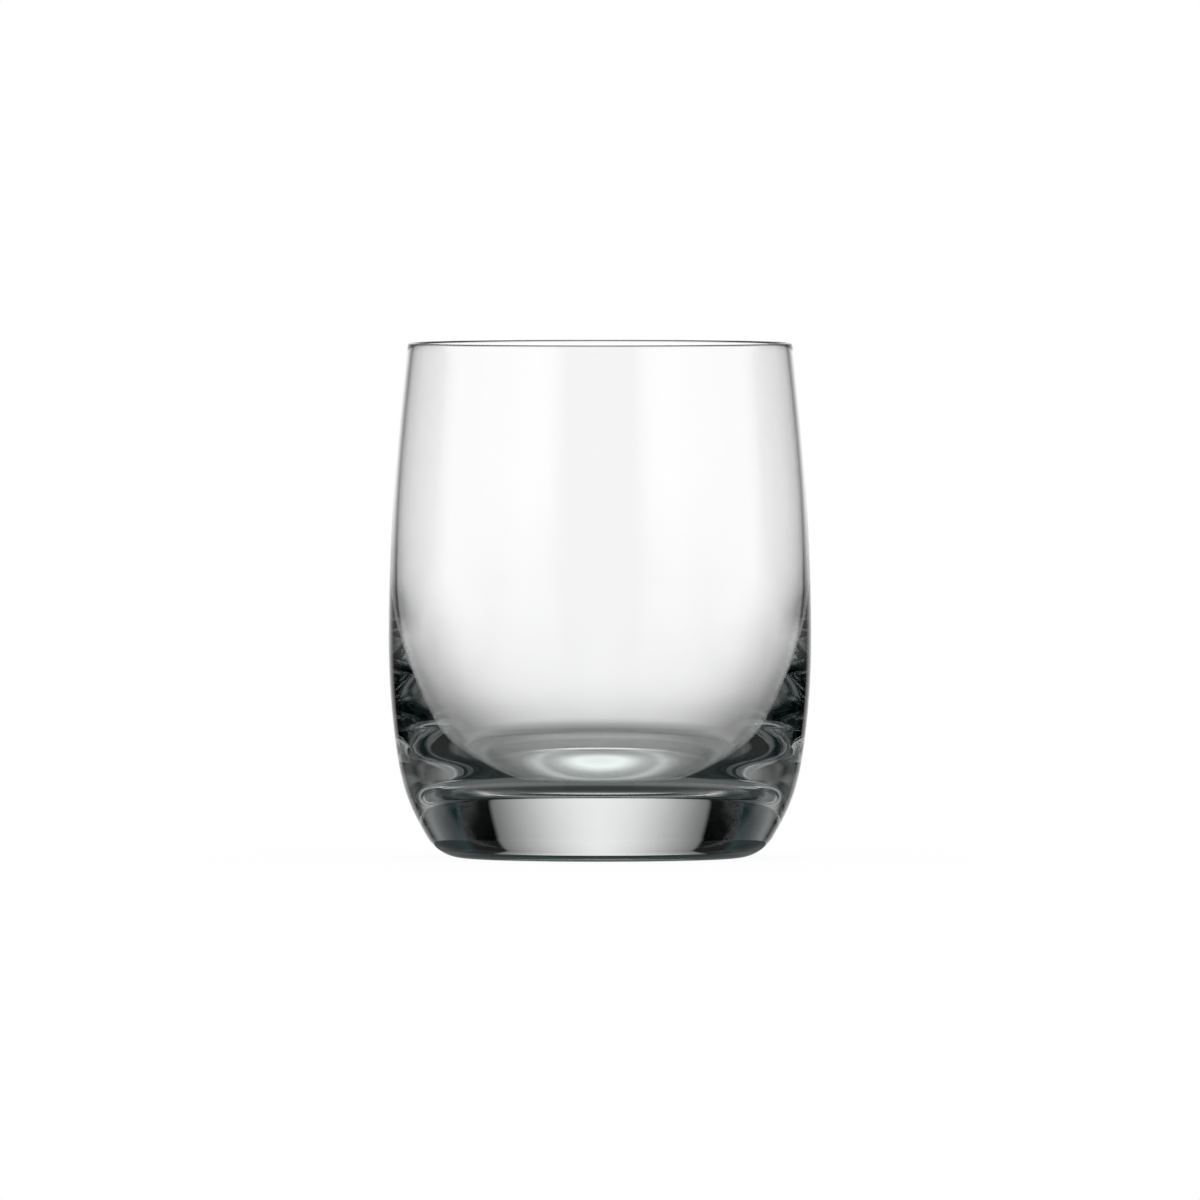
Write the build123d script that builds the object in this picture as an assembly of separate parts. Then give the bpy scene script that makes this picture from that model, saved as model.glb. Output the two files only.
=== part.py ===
from build123d import *
import math
import os

# A low whiskey tumbler, made as one piece of clear glass: a thin rim, a wall that swells to a
# belly below half height, a flat-floored round-cornered bowl, and a thick solid base on a small
# flat foot. Millimetres. The origin is the centre of the foot on the table, and +Z goes up
# through the mouth. The half-section is drawn flat, with X as the radius and Y as the height,
# then stood up and spun.

# Outside. The other radii are steps in from the belly, so that they follow its size.
height = 92.0              # table to the top of the rim
belly_radius = 37.8        # the widest part
belly_height = 39.0
rim_inset = 3.4            # how far the rim stands in from the belly
rim_lean = 6.5             # degrees that the wall leans in at the rim
hip_inset = 1.3            # where the belly starts to round in
hip_height = 20.0
heel_inset = 3.65          # the middle of the rounded heel
heel_height = 10.0
toe_inset = 6.1            # where the heel runs out into the straight cone of the foot
toe_height = 5.0
foot_lean = 29.5           # degrees from upright of that cone
foot_round = 7.5           # the rounding from the cone to the flat ring

# Underside
ring_width = 2.3           # the flat ring that the tumbler stands on
punt_depth = 0.5           # the shallow hollow inside the ring

# Rim and bowl
rim_wall = 1.0             # the melted-round rim is a full half circle of this width
waist_wall = 1.4           # how far the bowl's widest part stands in from the belly
waist_height = 50.0
base_thickness = 12.8      # table to the floor of the bowl
floor_inset = 17.0         # how far the edge of the flat floor stands in from the belly
corner_round = 7.5         # the tight curve around the floor
corner_turn = 50.0         # degrees that the tight curve climbs
side_round = 30.0          # the wider curve above it
side_turn = 16.0           # degrees that the wider curve climbs

out = Vector(1, 0)
up = Vector(0, 1)


def leaning(degrees):
    """The way up a wall that leans out by this many degrees from upright."""
    return Vector(math.sin(math.radians(degrees)), math.cos(math.radians(degrees)))


def flow(start, leaving, stop, arriving):
    """One smooth curve that leaves and arrives along the given directions."""
    reach = (stop - start).length / 3
    return Bezier(start, start + leaving * reach, stop - arriving * reach, stop)


def foot_and_heel(belly):
    """The outer line from the standing ring around the foot and up to the belly."""
    toe = Vector(belly_radius - toe_inset, toe_height)
    heel = Vector(belly_radius - heel_inset, heel_height)
    hip = Vector(belly_radius - hip_inset, hip_height)
    slope = leaning(foot_lean)
    arc_top = foot_round * (1 - slope.X)
    cone_foot = toe - slope * ((toe_height - arc_top) / slope.Y)
    ring_edge = Vector(cone_foot.X - foot_round * slope.Y, 0)
    arc = JernArc(ring_edge, out, foot_round, 90 - foot_lean)
    cone = Line(arc @ 1, toe)
    side = Spline([toe, heel, hip, belly], tangents=[slope, up])
    return [arc, cone, side]


def wall_and_lip(belly):
    """The outer line from the belly up to the rim, and the half circle over the rim."""
    slope = leaning(-rim_lean)
    lip_rise = rim_wall / 2 * (1 + slope.X)
    rim = Vector(belly_radius - rim_inset, height - lip_rise)
    wall = flow(belly, up, rim, slope)
    lip = JernArc(rim, slope, rim_wall / 2, 180)
    return [wall, lip]


def bowl(rim):
    """The inner line from the axis over the floor and up the wall to the inside of the rim."""
    floor_edge = Vector(belly_radius - floor_inset, base_thickness)
    floor = Line((0, base_thickness), floor_edge)
    corner = JernArc(floor_edge, out, corner_round, corner_turn)
    side = JernArc(corner @ 1, corner % 1, side_round, side_turn)
    waist = Vector(belly_radius - waist_wall, waist_height)
    body = flow(side @ 1, side % 1, waist, up)
    wall = flow(waist, up, rim, leaning(-rim_lean))
    return [floor, corner, side, body, wall]


def underside(ring_edge):
    """The flat standing ring, and the shallow hollow from there to the axis."""
    hollow_edge = ring_edge - out * ring_width
    ring = Line(ring_edge, hollow_edge)
    hollow = flow(hollow_edge, -out, Vector(0, punt_depth), -out)
    return [ring, hollow]


def half_section():
    """The closed half-section, from the axis out to the wall and back."""
    belly = Vector(belly_radius, belly_height)
    lower = foot_and_heel(belly)
    upper = wall_and_lip(belly)
    inner = bowl(upper[-1] @ 1)
    under = underside(lower[0] @ 0)
    axis = Line((0, punt_depth), (0, base_thickness))
    return make_face(lower + upper + inner + under + [axis])


glass_tumbler = revolve(Plane.XZ * half_section(), Axis.Z)
glass_tumbler.label = "glass_tumbler"

os.makedirs("parts", exist_ok=True)
export_step(glass_tumbler, "parts/glass_tumbler.step")
print("glass", round(glass_tumbler.volume / 1000, 1), "ml")
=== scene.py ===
# %% [markdown]
# # A whiskey tumbler in clear glass
#
# The object is one piece of clear glass: a thin rim, a wall that swells to a belly, a bowl with a flat
# floor and a tight round corner, and a thick solid base on a small flat foot. Clear glass has no
# colour of its own to paint. What the eye reads is how it bends the light around it, so almost all of
# the work is in three things: a smooth and exact section, a surface with the faint waves that forming
# leaves, and a studio with bright and dark zones for the glass to bend.

# %% Load the frame
import math

import bpy
import numpy as np
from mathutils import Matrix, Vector
from mathutils.bvhtree import BVHTree


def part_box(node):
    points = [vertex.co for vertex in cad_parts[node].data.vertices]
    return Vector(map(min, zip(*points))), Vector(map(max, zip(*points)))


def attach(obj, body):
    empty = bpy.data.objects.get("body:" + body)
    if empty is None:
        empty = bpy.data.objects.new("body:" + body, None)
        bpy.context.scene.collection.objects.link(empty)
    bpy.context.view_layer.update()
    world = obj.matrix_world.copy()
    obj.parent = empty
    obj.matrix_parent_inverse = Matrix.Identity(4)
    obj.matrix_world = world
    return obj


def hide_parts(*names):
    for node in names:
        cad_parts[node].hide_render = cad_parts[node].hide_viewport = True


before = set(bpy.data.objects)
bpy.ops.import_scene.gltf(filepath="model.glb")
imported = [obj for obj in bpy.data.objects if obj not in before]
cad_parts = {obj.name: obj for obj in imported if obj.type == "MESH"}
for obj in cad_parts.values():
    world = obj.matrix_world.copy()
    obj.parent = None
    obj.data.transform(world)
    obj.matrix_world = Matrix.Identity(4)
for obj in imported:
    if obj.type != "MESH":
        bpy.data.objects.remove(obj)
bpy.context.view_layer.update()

mm = 0.001
top_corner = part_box("glass_tumbler")[1]
height = top_corner.z
belly_radius = top_corner.x
print("frame: height %.1f mm, belly %.1f mm across" % (height / mm, 2 * belly_radius / mm))

# %% [markdown]
# ## The section
#
# A lathe shape is fully described by its half-section, drawn from the axis under the foot, round the
# outside to the rim, and back down the inside to the axis. It could be traced with many points, but
# glass shows every small error in a curve, because a bend of light depends on the slope and not on the
# place. So the line is made from a few arcs and smooth curves, each worked out densely by a formula.
# The height and the belly come from the frame, and the other radii are steps in from the belly.

# %% Sizes of the outside, from the rim down to the foot
rim_inset = 3.4 * mm
rim_lean = 6.5  # degrees that the wall leans in at the rim
belly_height = 39.0 * mm
hip_inset = 1.3 * mm
hip_height = 20.0 * mm
heel_inset = 3.65 * mm
heel_height = 10.0 * mm
toe_inset = 6.1 * mm
toe_height = 5.0 * mm
foot_lean = 29.5  # degrees from upright of the cone under the heel
foot_round = 7.5 * mm
ring_width = 2.3 * mm  # the flat ring that the glass stands on
punt_depth = 0.5 * mm  # the shallow hollow inside the ring
print("the rim is %.1f mm across" % (2 * (belly_radius - rim_inset) / mm))

# %% Sizes of the rim and the bowl
rim_wall = 1.0 * mm
waist_wall = 1.4 * mm
waist_height = 50.0 * mm
base_thickness = 12.8 * mm
floor_inset = 17.0 * mm
corner_round = 7.5 * mm
corner_turn = 50.0  # degrees that the tight curve round the floor climbs
side_round = 30.0 * mm
side_turn = 16.0  # degrees that the wider curve above it climbs
print("the bowl's floor is %.1f mm across" % (2 * (belly_radius - floor_inset) / mm))


# %% Curves for the section
def way(degrees):
    """A direction in the section, as degrees turned from straight out towards up."""
    return np.array((math.cos(math.radians(degrees)), math.sin(math.radians(degrees))))


def arc(start, heading, radius, turn, steps):
    """Points of an arc that leaves start at a heading and turns left by some degrees."""
    turns = np.linspace(0, turn, steps + 1)
    side = np.array([way(heading + 90 + t) for t in turns])
    centre = start + radius * side[0]
    return centre - radius * side


def flow(start, leaving, stop, arriving, steps):
    """Points of one smooth curve between two places, with a direction at each end."""
    reach = np.linalg.norm(stop - start) / 3
    first = start + way(leaving) * reach
    last = stop - way(arriving) * reach
    t = np.linspace(0, 1, steps + 1)[:, None]
    s = 1 - t
    return start * s**3 + 3 * first * s**2 * t + 3 * last * s * t**2 + stop * t**3


# %% [markdown]
# The heel needs a curve through several places at once. A chain of arcs would do it, but each joint
# between two arcs is a jump in bending, which clear glass shows as a line. A spline shares the bending
# out: its slope at every place is solved so that the bending is equal on both sides of it.


# %% A curve through several places
def slopes_through(stops, gaps, leaving, arriving):
    """The slope at each place, so that the bending is even across it."""
    count = len(stops)
    balance = np.eye(count)
    slopes = np.zeros((count, 2))
    slopes[0] = way(leaving)
    slopes[-1] = way(arriving)
    for i in range(1, count - 1):
        before, after = gaps[i - 1], gaps[i]
        balance[i, i - 1 : i + 2] = (after, 2 * (before + after), before)
        rise_in = (stops[i] - stops[i - 1]) / before
        rise_out = (stops[i + 1] - stops[i]) / after
        slopes[i] = 3 * (after * rise_in + before * rise_out)
    return np.linalg.solve(balance, slopes)


def flow_through(stops, leaving, arriving, steps):
    """Points of one curve with even bending through several places."""
    stops = np.array(stops)
    gaps = np.linalg.norm(np.diff(stops, axis=0), axis=1)
    slopes = slopes_through(stops, gaps, leaving, arriving)
    t = np.linspace(0, 1, steps + 1)[1:, None]
    points = [stops[:1]]
    for i, gap in enumerate(gaps):
        between = stops[i] * (1 + 2 * t) * (1 - t) ** 2 + stops[i + 1] * t * t * (3 - 2 * t)
        bending = gap * (slopes[i] * t * (1 - t) ** 2 - slopes[i + 1] * t * t * (1 - t))
        points.append(between + bending)
    return np.vstack(points)


# %% The places that the section passes through
belly = np.array((belly_radius, belly_height))
toe = np.array((belly_radius - toe_inset, toe_height))
heel = np.array((belly_radius - heel_inset, heel_height))
hip = np.array((belly_radius - hip_inset, hip_height))
foot_way = 90 - foot_lean
slope = way(foot_way)
arc_top = foot_round * (1 - slope[0])
cone_foot = toe - slope * ((toe_height - arc_top) / slope[1])
ring_edge = np.array((cone_foot[0] - foot_round * slope[1], 0))
hollow_edge = ring_edge - np.array((ring_width, 0))
rim_way = 90 + rim_lean
lip_rise = rim_wall / 2 * (1 - math.sin(math.radians(rim_lean)))
rim = np.array((belly_radius - rim_inset, height - lip_rise))
floor_centre = np.array((0, base_thickness))
floor_edge = np.array((belly_radius - floor_inset, base_thickness))
waist = np.array((belly_radius - waist_wall, waist_height))
print("standing ring %.1f to %.1f mm from the axis" % (hollow_edge[0] / mm, ring_edge[0] / mm))

# %% The stretches of the half-section
hollow = flow(np.array((0, punt_depth)), 0, hollow_edge, 0, 48)
ring = np.linspace(hollow_edge, ring_edge, 5)
foot = arc(ring_edge, 0, foot_round, foot_way, 16)
cone = np.linspace(cone_foot, toe, 5)
side = flow_through([toe, heel, hip, belly], foot_way, 90, 20)
wall = flow(belly, 90, rim, rim_way, 44)
lip = arc(rim, rim_way, rim_wall / 2, 180, 12)
corner = arc(floor_edge, 0, corner_round, corner_turn, 22)
shoulder = arc(corner[-1], corner_turn, side_round, side_turn, 8)
body = flow(shoulder[-1], corner_turn + side_turn, waist, 90, 36)
inner_wall = flow(waist, 90, lip[-1], rim_way, 36)
floor = np.linspace(floor_centre, floor_edge, 41)
print("floor %.1f mm up, lip %.1f mm thick" % (base_thickness / mm, rim_wall / mm))

# %% Join them into one line
outside = [hollow, ring, foot, cone, side, wall, lip]
inside = [stretch[::-1] for stretch in (inner_wall, body, shoulder, corner, floor)]
line = np.vstack([hollow[:1]] + [stretch[1:] for stretch in outside + inside])
print("the line has", len(line), "points")

# %% [markdown]
# ## Spinning the glass
#
# A screw modifier could spin the line. Building the mesh directly closes it at the axis with one point
# above and one below, so there is no seam and no doubled point, either of which would show in the
# middle of the base. The line goes round in 288 steps, enough for the outline to read as round and for
# the smooth shading to bend light evenly.


# %% Spin the half-section
def spin(line, around):
    """The mesh of the spun line, closed at the axis under the foot and on the bowl's floor."""
    rings = line[1:-1]
    turns = [2 * math.pi * step / around for step in range(around)]
    points = [(r * math.cos(a), r * math.sin(a), z) for r, z in rings for a in turns]
    bottom, top = len(points), len(points) + 1
    points += [(0, 0, line[0][1]), (0, 0, line[-1][1])]
    last = (len(rings) - 1) * around
    faces = []
    for step in range(around):
        after = (step + 1) % around
        faces.append((bottom, after, step))
        for row in range(len(rings) - 1):
            a, b = row * around + step, row * around + after
            faces.append((a, b, b + around, a + around))
        faces.append((top, last + step, last + after))
    mesh = bpy.data.meshes.new("tumbler_glass")
    mesh.from_pydata(points, [], faces)
    mesh.polygons.foreach_set("use_smooth", [True] * len(faces))
    mesh.update()
    return mesh


mesh = spin(line, 288)
tumbler = bpy.data.objects.new("tumbler", mesh)
bpy.context.collection.objects.link(tumbler)
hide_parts("glass_tumbler")
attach(tumbler, "root")
print("the mesh has", len(mesh.polygons), "faces")

# %% Compare the spun glass with the frame
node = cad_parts["glass_tumbler"].data
surface = BVHTree.FromPolygons([v.co for v in node.vertices], [p.vertices for p in node.polygons])
stride = 37  # shares no factor with the steps round the glass, so the samples spread out
gaps = [surface.find_nearest(v.co)[3] for v in list(mesh.vertices)[::stride]]
print("furthest from the frame: %.3f mm" % (max(gaps) / mm))


# %% [markdown]
# ## Building node trees from code
#
# A material or a World is a tree of nodes. It could be clicked together in the shader editor, but in a
# script a few helpers read better: each one adds a node, connects or sets what it is given, and hands
# back the output to use next.


# %% Helpers for nodes
def add(tree, kind, **settings):
    """A new node, with its plain settings set by name."""
    made = tree.nodes.new(kind)
    for name, value in settings.items():
        setattr(made, name, value)
    return made


def plug(tree, value, socket):
    """Connect another node's output to a socket, or set the socket to a plain value."""
    if isinstance(value, bpy.types.NodeSocket):
        tree.links.new(value, socket)
    else:
        socket.default_value = value


def calculate(tree, operation, first, second=None, clamp=False):
    """A math node fed by numbers or by other nodes' outputs."""
    made = add(tree, "ShaderNodeMath", operation=operation, use_clamp=clamp)
    plug(tree, first, made.inputs[0])
    if second is not None:
        plug(tree, second, made.inputs[1])
    return made.outputs[0]


def fade(tree, value, start, width):
    """0 up to start and 1 from start + width on. A negative width fades downwards from start."""
    return calculate(tree, "DIVIDE", calculate(tree, "SUBTRACT", value, start), width, clamp=True)


# %% Helpers for colours
def mix(tree, share, first, second, blend_type="MIX"):
    """The first colour where share is 0, and the second, or its product with the first, where it is 1."""
    made = add(tree, "ShaderNodeMix", data_type="RGBA", blend_type=blend_type)
    share_place, first_place, second_place = 0, 6, 7  # the sockets between are for numbers and vectors
    plug(tree, share, made.inputs[share_place])
    plug(tree, first, made.inputs[first_place])
    plug(tree, second, made.inputs[second_place])
    return made.outputs[2]


def tinted(stops, tint):
    """Brightnesses turned into colours of one tint."""
    return [(place, tuple(value * share for share in tint)) for place, value in stops]


def ramp(tree, value, stops, reach):
    """A colour for each value from 0 to reach, blended evenly between the stops."""
    made = add(tree, "ShaderNodeValToRGB")
    elements = made.color_ramp.elements
    for element, (place, colour) in zip(elements, (stops[0], stops[-1])):
        element.position = place / reach
        element.color = (*colour, 1)
    for place, colour in stops[1:-1]:
        elements.new(place / reach).color = (*colour, 1)
    plug(tree, calculate(tree, "DIVIDE", value, reach, clamp=True), made.inputs[0])
    return made.outputs[0]


neutral = (1, 1, 1)


# %% [markdown]
# ## Clear glass
#
# Glass is a surface that lets light through and bends it, and a body that takes a little of it away.
# The surface is a Principled shader with full transmission and the glass's index of refraction. A
# tinted surface would colour the thin rim as much as the thick base, so the tint is in the body: a
# Volume Absorption shader gives the faint grey-green of the base and leaves the rim clear. One material
# covers the whole glass, because light that enters a closed body through one material's surface has to
# leave it through the same one.
#
# Forming leaves waves in the wall, drawn out sideways and only a few thousandths of a millimetre high.
# They could be modelled, but they are far below what shows as shape, so they are a bump: a noise that
# changes slowly round the glass and quickly up it. They are strongest in the thick lower wall, which
# turns them into streaks, and nearly gone in the base and at the rim.


# %% The waves that forming leaves
def forming_waves(tree, place):
    """A height that changes slowly round the glass and quickly up and towards its axis."""
    parts = add(tree, "ShaderNodeSeparateXYZ")
    plug(tree, place, parts.inputs[0])
    x, y, z = parts.outputs
    across = calculate(tree, "MULTIPLY", x, x)
    along = calculate(tree, "MULTIPLY", y, y)
    radius = calculate(tree, "SQRT", calculate(tree, "ADD", across, along))
    climb = calculate(tree, "ADD", z, calculate(tree, "MULTIPLY", radius, 0.7))
    stretched = add(tree, "ShaderNodeCombineXYZ")
    for distance, per_metre, socket in zip((x, y, climb), (26.0, 26.0, 700.0), stretched.inputs):
        plug(tree, calculate(tree, "MULTIPLY", distance, per_metre), socket)
    waves = add(tree, "ShaderNodeTexNoise", noise_dimensions="3D")
    for name, value in (("Scale", 1.0), ("Detail", 0.5), ("Roughness", 0.45)):
        waves.inputs[name].default_value = value
    plug(tree, stretched.outputs[0], waves.inputs["Vector"])
    above_base = fade(tree, z, 12 * mm, 14 * mm)
    below_neck = fade(tree, z, 64 * mm, -16 * mm)
    calm = 0.04
    lower_wall = calculate(tree, "MULTIPLY", above_base, below_neck)
    strength = calculate(tree, "ADD", calculate(tree, "MULTIPLY", lower_wall, 1 - calm), calm)
    return calculate(tree, "MULTIPLY", waves.outputs["Fac"], strength)


# %% The worn ring under the foot
def worn_ring(tree, place):
    """Roughness of the flat ring, scratched by every table that the glass has stood on."""
    parts = add(tree, "ShaderNodeSeparateXYZ")
    plug(tree, place, parts.inputs[0])
    grit = add(tree, "ShaderNodeTexNoise", noise_dimensions="3D")
    grit.inputs["Scale"].default_value = 900.0
    plug(tree, place, grit.inputs["Vector"])
    scratches = calculate(tree, "MULTIPLY", grit.outputs["Fac"], 0.35)
    touches_table = calculate(tree, "LESS_THAN", parts.outputs[2], 0.12 * mm)
    return calculate(tree, "MULTIPLY", scratches, touches_table)


# %% The glass
def glass(name):
    """Clear glass with faint forming waves, a worn foot and a faint body tint."""
    material = bpy.data.materials.new(name)
    material.use_nodes = True
    tree = material.node_tree
    shader = tree.nodes["Principled BSDF"]
    shader.inputs["Base Color"].default_value = (1, 1, 1, 1)
    shader.inputs["IOR"].default_value = 1.52
    shader.inputs["Transmission Weight"].default_value = 1
    tint = add(tree, "ShaderNodeVolumeAbsorption")
    tint.inputs["Color"].default_value = (0.70, 0.725, 0.72, 1)
    tint.inputs["Density"].default_value = 11.0
    plug(tree, tint.outputs[0], tree.nodes["Material Output"].inputs["Volume"])
    place = add(tree, "ShaderNodeTexCoord").outputs["Object"]
    bump = add(tree, "ShaderNodeBump")
    bump.inputs["Strength"].default_value = 1.0
    bump.inputs["Distance"].default_value = 0.003 * mm
    plug(tree, forming_waves(tree, place), bump.inputs["Height"])
    plug(tree, bump.outputs[0], shader.inputs["Normal"])
    plug(tree, worn_ring(tree, place), shader.inputs["Roughness"])
    return material


mesh.materials.append(glass("clear_glass"))
print("the glass is", mesh.materials[0].name, "with", len(mesh.materials[0].node_tree.nodes), "nodes")

# %% [markdown]
# ## The studio
#
# A glass is lit by what stands around it: a white backdrop behind, dark cards beside that, lamps to
# the sides, a dark room above and a white table below. Cards and lamps could be placed as objects, but
# painting them on the World by direction is steadier: it adds no noise, and on such a small object
# every place sees them alike. Two angles name a direction: how far it is turned sideways from the
# middle of the backdrop, 0 to 180 degrees on either side, and how far it points up.

# %% Two angles for every direction
world = bpy.data.worlds.new("studio")
bpy.context.scene.world = world
world.use_nodes = True
sky = world.node_tree
sky.nodes.clear()
direction = add(sky, "ShaderNodeSeparateXYZ")
plug(sky, add(sky, "ShaderNodeTexCoord").outputs["Generated"], direction.inputs[0])
x, y, z = direction.outputs
in_degrees = 180 / math.pi
turned = calculate(sky, "ARCTAN2", calculate(sky, "ABSOLUTE", x), y)
sideways = calculate(sky, "MULTIPLY", turned, in_degrees)
upward = calculate(sky, "MULTIPLY", calculate(sky, "ARCSINE", z), in_degrees)
half_turn = 180
print("the studio's World is", world.name)

# %% [markdown]
# ### Backdrop, cards and lamps
#
# These are what the thick base shows: a bright middle between two dark bands, then grey from the lamps.
# The backdrop fades towards its sides and ends at a black card. A second card past it is a very dark
# blue-green, which gives thick clear glass its cool darks. Each pair of numbers is a place in degrees
# and its brightness. The edges lean outwards as they rise, which slants the edges of the dark bands.

# %% The walls of the studio
backdrop = [(0, 1.09), (4, 1.03), (8, 0.90), (12, 0.72), (15, 0.57), (20, 0.35), (24.3, 0.19)]
black_card = [(24.9, 0.0), (35, 0.0)]
teal_card = [(37.5, 0.032), (43, 0.014), (50, 0.012), (62, 0.014), (70, 0.014), (79, 0.03)]
side_lamp = [(83, 0.42), (88, 0.45), (92, 0.30), (97, 0.18), (101, 0.115), (105, 0.07)]
front_lamps = [(113, 0.16), (121, 0.05), (133, 0.15), (139, 0.18), (146, 0.06), (152, 0.01), (180, 0.01)]
wall_stops = tinted(backdrop + black_card, (1, 1, 0.995))
wall_stops += tinted(teal_card, (0.45, 1.05, 1.12)) + tinted(side_lamp + front_lamps, neutral)

lean_per_degree = 0.22
lean_bottom, lean_top = -12.0, 6.0
leaning = calculate(sky, "MINIMUM", calculate(sky, "MAXIMUM", upward, lean_bottom), lean_top)
lean = calculate(sky, "MULTIPLY", leaning, lean_per_degree)
walls = ramp(sky, calculate(sky, "SUBTRACT", sideways, lean), wall_stops, half_turn)
print("the walls have", len(wall_stops), "stops")

# %% [markdown]
# ### What the outside mirrors, and what the bowl lets through
#
# In a real studio the cards stand at different distances, so the outer skin of a glass mirrors other
# parts of them than its thick base bends. A World has no distance. Real cards placed close would bring
# it back, but thick glass shows every end of such a card as a hard edge. The Light Path node offers a
# softer way: it counts how many glass surfaces the light has passed. None means a mirror image on the
# outside, two or three mean the solid base, and four or more mean the bowl, whose thin walls show an
# even, slowly fading backdrop.

# %% Reflections on the outside
path = add(sky, "ShaderNodeLightPath")
surfaces_passed = path.outputs["Transmission Depth"]
sweep = [(0, 1.09), (8, 1.0), (16, 0.70), (22, 0.36), (26, 0.20), (30, 0.24), (37, 0.48), (46, 0.52)]
sweep += [(60, 0.44), (76, 0.28), (87, 0.24), (101, 0.14), (110, 0.09), (120, 0.05), (133, 0.17)]
sweep += [(139, 0.26), (146, 0.10), (152, 0.01), (180, 0.01)]
outer = calculate(sky, "LESS_THAN", surfaces_passed, 0.5)
above_table = fade(sky, upward, -2.8, 2.2)
mirrored = calculate(sky, "MULTIPLY", outer, above_table)
skin = mix(sky, mirrored, walls, ramp(sky, sideways, tinted(sweep, neutral), half_turn))
print("the reflections have", len(sweep), "stops")

# %% The view through the bowl
edge_fade = [(0, 1), (2.5, 0.98), (4, 0.89), (5.5, 0.79), (7.2, 0.68), (11, 0.52), (15, 0.45), (22, 0.5)]
edge_fade += [(30, 0.85), (36, 1)]
edges = ramp(sky, sideways, tinted(edge_fade, neutral), half_turn)
even = [(0, 1.08), (3, 1.05), (6, 0.99), (10, 0.92), (16, 0.82), (26, 0.6), (36, 0.25), (55, 0.10)]
even += [(70, 0.15), (80, 0.8), (90, 0.95), (100, 0.8), (110, 0.15), (125, 0.06), (180, 0.06)]
through_bowl = calculate(sky, "GREATER_THAN", surfaces_passed, 3.5)
below_eye = fade(sky, upward, -2, -6)
bowl_view = mix(sky, below_eye, ramp(sky, sideways, tinted(even, neutral), half_turn), edges, "MULTIPLY")
open_walls = mix(sky, through_bowl, skin, bowl_view)
print("the bowl's view has", len(even), "stops")

# %% [markdown]
# ### The ceiling
#
# Above the lamps the room is nearly black with a cool cast. The thick base sees it in its side curves,
# so a plain black would do for most of it, but two dim grey panels keep the curves from going dead. The
# lamps reach less far up beside the glass than behind it.

# %% The room above the lamps
to_the_side = fade(sky, sideways, 55, 20)
lamp_top = calculate(sky, "SUBTRACT", 24, calculate(sky, "MULTIPLY", to_the_side, 11))
lamp_fade = calculate(sky, "SUBTRACT", 10, calculate(sky, "MULTIPLY", to_the_side, 5))
over_lamps = fade(sky, upward, lamp_top, lamp_fade)
room = [(0, (0.020, 0.042, 0.039)), (40, (0.012, 0.032, 0.032)), (70, (0.004, 0.012, 0.013))]
room += [(80, (0.14, 0.15, 0.15)), (118, (0.14, 0.15, 0.15)), (128, (0.003, 0.010, 0.011))]
room += [(165, (0.004, 0.012, 0.013)), (180, (0.016, 0.036, 0.036))]
overhead = fade(sky, upward, 44, 12)
overhead_colour = (0.022, 0.044, 0.040, 1)
ceiling = mix(sky, overhead, ramp(sky, sideways, room, half_turn), overhead_colour)
walls_and_ceiling = mix(sky, over_lamps, open_walls, ceiling)
print("the ceiling has", len(room), "stops")

# %% [markdown]
# ### The table
#
# Below eye level the glass bends a white table, bright far behind it and dimmer near it with a painted
# shade, where the glass itself stands in the light. A lit plane would need many samples through thick
# glass to look clean, so the table is painted too, shade and all. It has painted shade behind the camera
# and steeply down on both sides, and the solid base sees it dimmed by painted shade past the cards, as
# if they lay on the table there.

# %% The table by how steeply it is seen
down = [(52, 0.10), (39, 0.24), (30, 0.46), (23, 0.81), (21.4, 0.90), (19, 0.96), (14, 1.04), (7, 1.07)]
quarter_turn = 90
straight_down = [(0, (0.10, 0.12, 0.12))]
rising = [(quarter_turn - degrees, value) for degrees, value in down]
table_stops = straight_down + tinted(rising, (1, 1.003, 1))
from_below = calculate(sky, "ADD", upward, quarter_turn)
table = mix(sky, 1, ramp(sky, from_below, table_stops, quarter_turn), edges, "MULTIPLY")
print("the table has", len(table_stops), "stops")

# %% Where the table has painted shade, and where it starts
behind_camera = fade(sky, sideways, 150, 10)
past_cards = fade(sky, sideways, 58, 8)
beside = calculate(sky, "MULTIPLY", past_cards, fade(sky, sideways, 118, -8))
steep_beside = calculate(sky, "MULTIPLY", beside, fade(sky, upward, -25, -4))
solid_only = calculate(sky, "SUBTRACT", 1, through_bowl)
dimmed = calculate(sky, "MULTIPLY", calculate(sky, "MULTIPLY", past_cards, solid_only), 0.7)
painted_shade_mask = calculate(sky, "MAXIMUM", calculate(sky, "MAXIMUM", behind_camera, steep_beside), dimmed)
# The colour of the painted shade on the table: behind the camera, steeply beside the glass and past the
# cards.
painted_table_shade = (0.002, 0.007, 0.008, 1)
edge_behind, edge_beside = 14, 3  # degrees down to where the table starts
nearer = calculate(sky, "MULTIPLY", to_the_side, edge_behind - edge_beside)
on_table = fade(sky, upward, calculate(sky, "SUBTRACT", nearer, edge_behind), -6)
surroundings = mix(sky, on_table, walls_and_ceiling, mix(sky, painted_shade_mask, table, painted_table_shade))
print("the table starts %d degrees down, and %d beside the glass" % (edge_behind, edge_beside))

# %% [markdown]
# The camera itself sees plain white, so that the glass stands on a clean sheet. Only light that has
# met the glass sees the painted studio.

# %% Show the studio to the glass and white to the camera
white = (1, 1, 1, 1)
background = add(sky, "ShaderNodeBackground")
plug(sky, mix(sky, path.outputs["Is Camera Ray"], surroundings, white), background.inputs[0])
plug(sky, background.outputs[0], add(sky, "ShaderNodeOutputWorld").inputs[0])
print("the World has", len(sky.nodes), "nodes")
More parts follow.
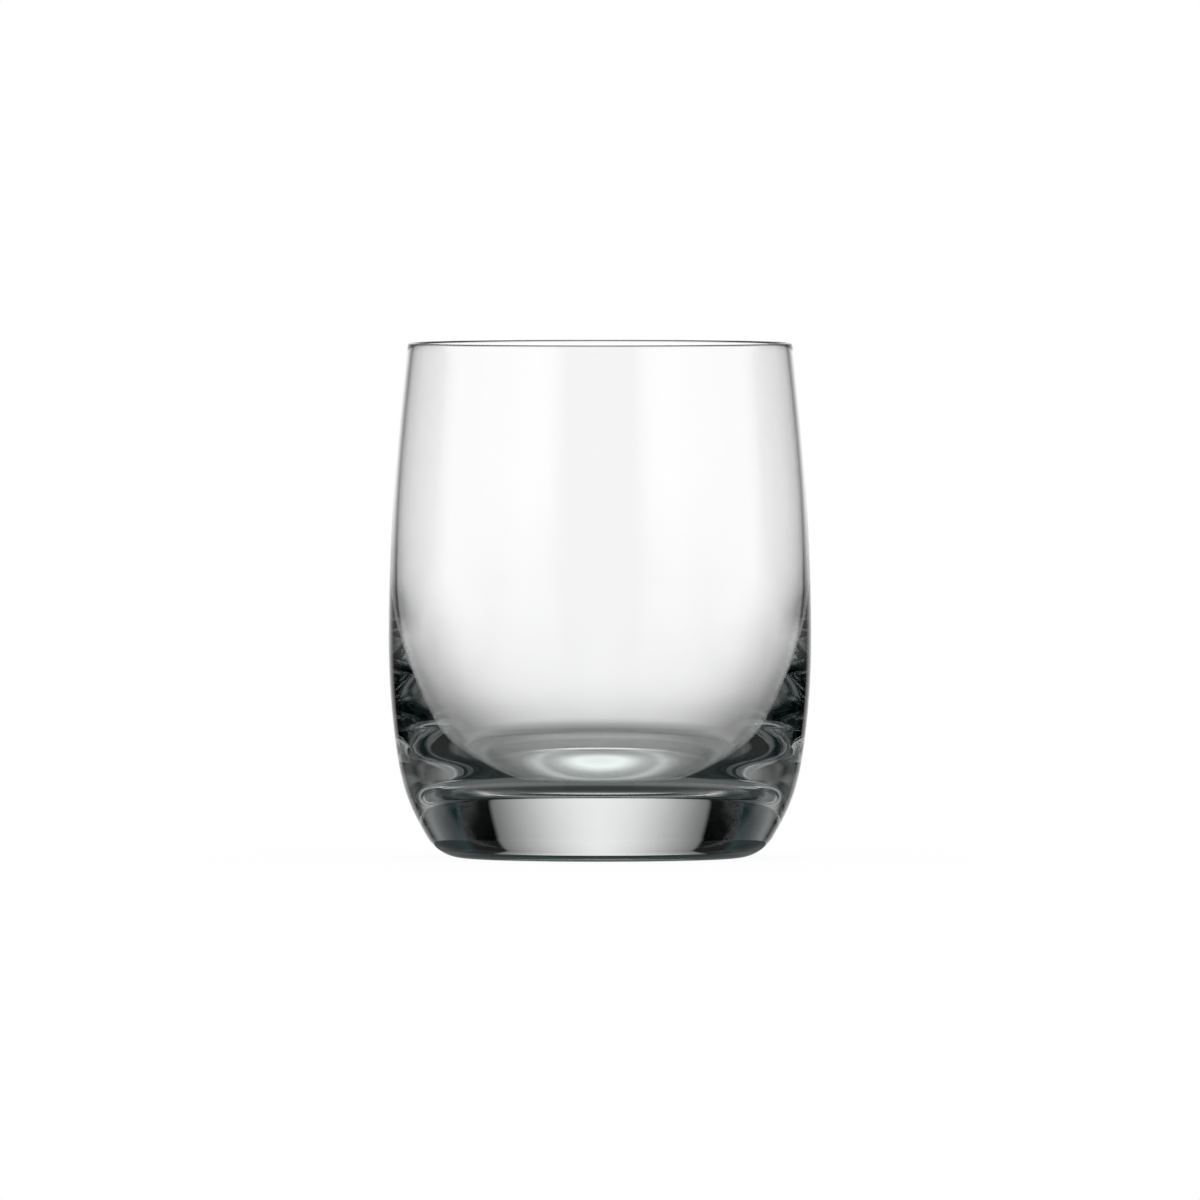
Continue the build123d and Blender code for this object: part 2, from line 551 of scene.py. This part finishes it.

# %% [markdown]
# ## The floor
#
# The tumbler stands on a white sheet. The camera sees it white, with a faint painted shade where the foot
# shuts out the light. Through the base shows the small disc under the foot, which is dim and ringed,
# because the base itself bends light into rings there. A lit sheet would need caustics for those rings,
# which take very many samples, so the shadow and the rings are painted: the sheet glows by its distance
# from the axis instead. Past the disc only the camera sees the sheet: all other light passes through it
# to the painted table.


# %% The sheet's painted shadow and rings, by distance from the axis
# Painted shadow and caustic rings under the foot, as light seen through the glass meets them.
painted_shadow_and_rings = [(0, 0.95), (4.5, 1.15), (6.5, 0.75), (8.3, 0.36), (10.4, 0.24), (12, 0.55), (13.6, 0.26)]
painted_shadow_and_rings += [(15.2, 0.10), (18, 0.045), (22.5, 0.045), (25.5, 0.18), (28, 0.12), (33, 0.14)]
# Painted shade round the foot, as the camera sees the sheet.
painted_contact_shade = [(0, 0.6), (23, 0.8), (26, 0.96), (40, 0.99), (100, 1.0)]
disc_radius = 33 * mm
sheet_reach = 6.0
sheet_drop = 0.02 * mm
ramp_reach = 150 * mm


def by_distance(tree, away, stops, tint):
    """The sheet's colour, from stops given in millimetres from the axis."""
    return ramp(tree, away, [(place * mm, colour) for place, colour in tinted(stops, tint)], ramp_reach)


# %% The sheet's material
def sheet_with_painted_shade():
    """A sheet glowing with painted shade and rings by distance from the axis, clear past the disc except
    to the camera.
    """
    material = bpy.data.materials.new("sheet_with_painted_shade")
    material.use_nodes = True
    tree = material.node_tree
    tree.nodes.clear()
    spot = add(tree, "ShaderNodeVectorMath", operation="LENGTH")
    plug(tree, add(tree, "ShaderNodeNewGeometry").outputs["Position"], spot.inputs[0])
    away = spot.outputs["Value"]
    by_camera = add(tree, "ShaderNodeLightPath").outputs["Is Camera Ray"]
    painted_shade_through_glass = by_distance(tree, away, painted_shadow_and_rings, (0.94, 1.03, 1))
    direct = by_distance(tree, away, painted_contact_shade, neutral)
    glow = add(tree, "ShaderNodeEmission")
    plug(tree, mix(tree, by_camera, painted_shade_through_glass, direct), glow.inputs[0])
    shown = calculate(tree, "MAXIMUM", by_camera, calculate(tree, "LESS_THAN", away, disc_radius))
    either = add(tree, "ShaderNodeMixShader")
    clear = add(tree, "ShaderNodeBsdfTransparent")
    for value, socket in zip((shown, clear.outputs[0], glow.outputs[0]), either.inputs):
        plug(tree, value, socket)
    plug(tree, either.outputs[0], add(tree, "ShaderNodeOutputMaterial").inputs[0])
    return material


# %% Lay the sheet
corners = [(-sheet_reach, -sheet_reach, 0), (sheet_reach, -sheet_reach, 0)]
corners += [(sheet_reach, sheet_reach, 0), (-sheet_reach, sheet_reach, 0)]
sheet = bpy.data.meshes.new("floor")
sheet.from_pydata(corners, [], [(0, 1, 2, 3)])
sheet.materials.append(sheet_with_painted_shade())
laid = bpy.data.objects.new("floor", sheet)
laid.location.z = -sheet_drop
bpy.context.collection.objects.link(laid)
print("the sheet is %.0f m wide, its disc %.0f mm across" % (2 * sheet_reach, 2 * disc_radius / mm))

# %% [markdown]
# ## The camera
#
# The view is from far off with a long lens, only a little above the table, so the rim shows as a thin
# line and the sides as a true outline. A closer camera would show more of the rim's ellipse.
#
# Light inside thick glass bounces many times before it gets out. With the usual few bounces the side
# walls would go black where their light is cut off, so the bounce limits are raised.

# %% Place the camera
distance = 5.0
eye_height = 166 * mm
aim_height = 46 * mm
frame_width = 214.4 * mm
sensor_width = 36  # millimetres, as Blender gives sensors and lenses
lens = bpy.data.cameras.new("camera")
lens.sensor_width = sensor_width
lens.lens = sensor_width * distance / frame_width
lens.clip_end = 50
camera = bpy.data.objects.new("camera", lens)
bpy.context.collection.objects.link(camera)
camera.location = (0, -distance, eye_height)
target = Vector((0, 0, aim_height))
camera.rotation_euler = (target - camera.location).to_track_quat("-Z", "Y").to_euler()
bpy.context.scene.camera = camera
print("lens %.0f mm" % lens.lens)

# %% Plain colours, and enough bounces for thick glass
bounces = 24
bpy.context.scene.view_settings.view_transform = "Standard"
for limit in ("max_bounces", "transmission_bounces", "glossy_bounces"):
    setattr(bpy.context.scene.cycles, limit, bounces)
print("light may bounce", bounces, "times")
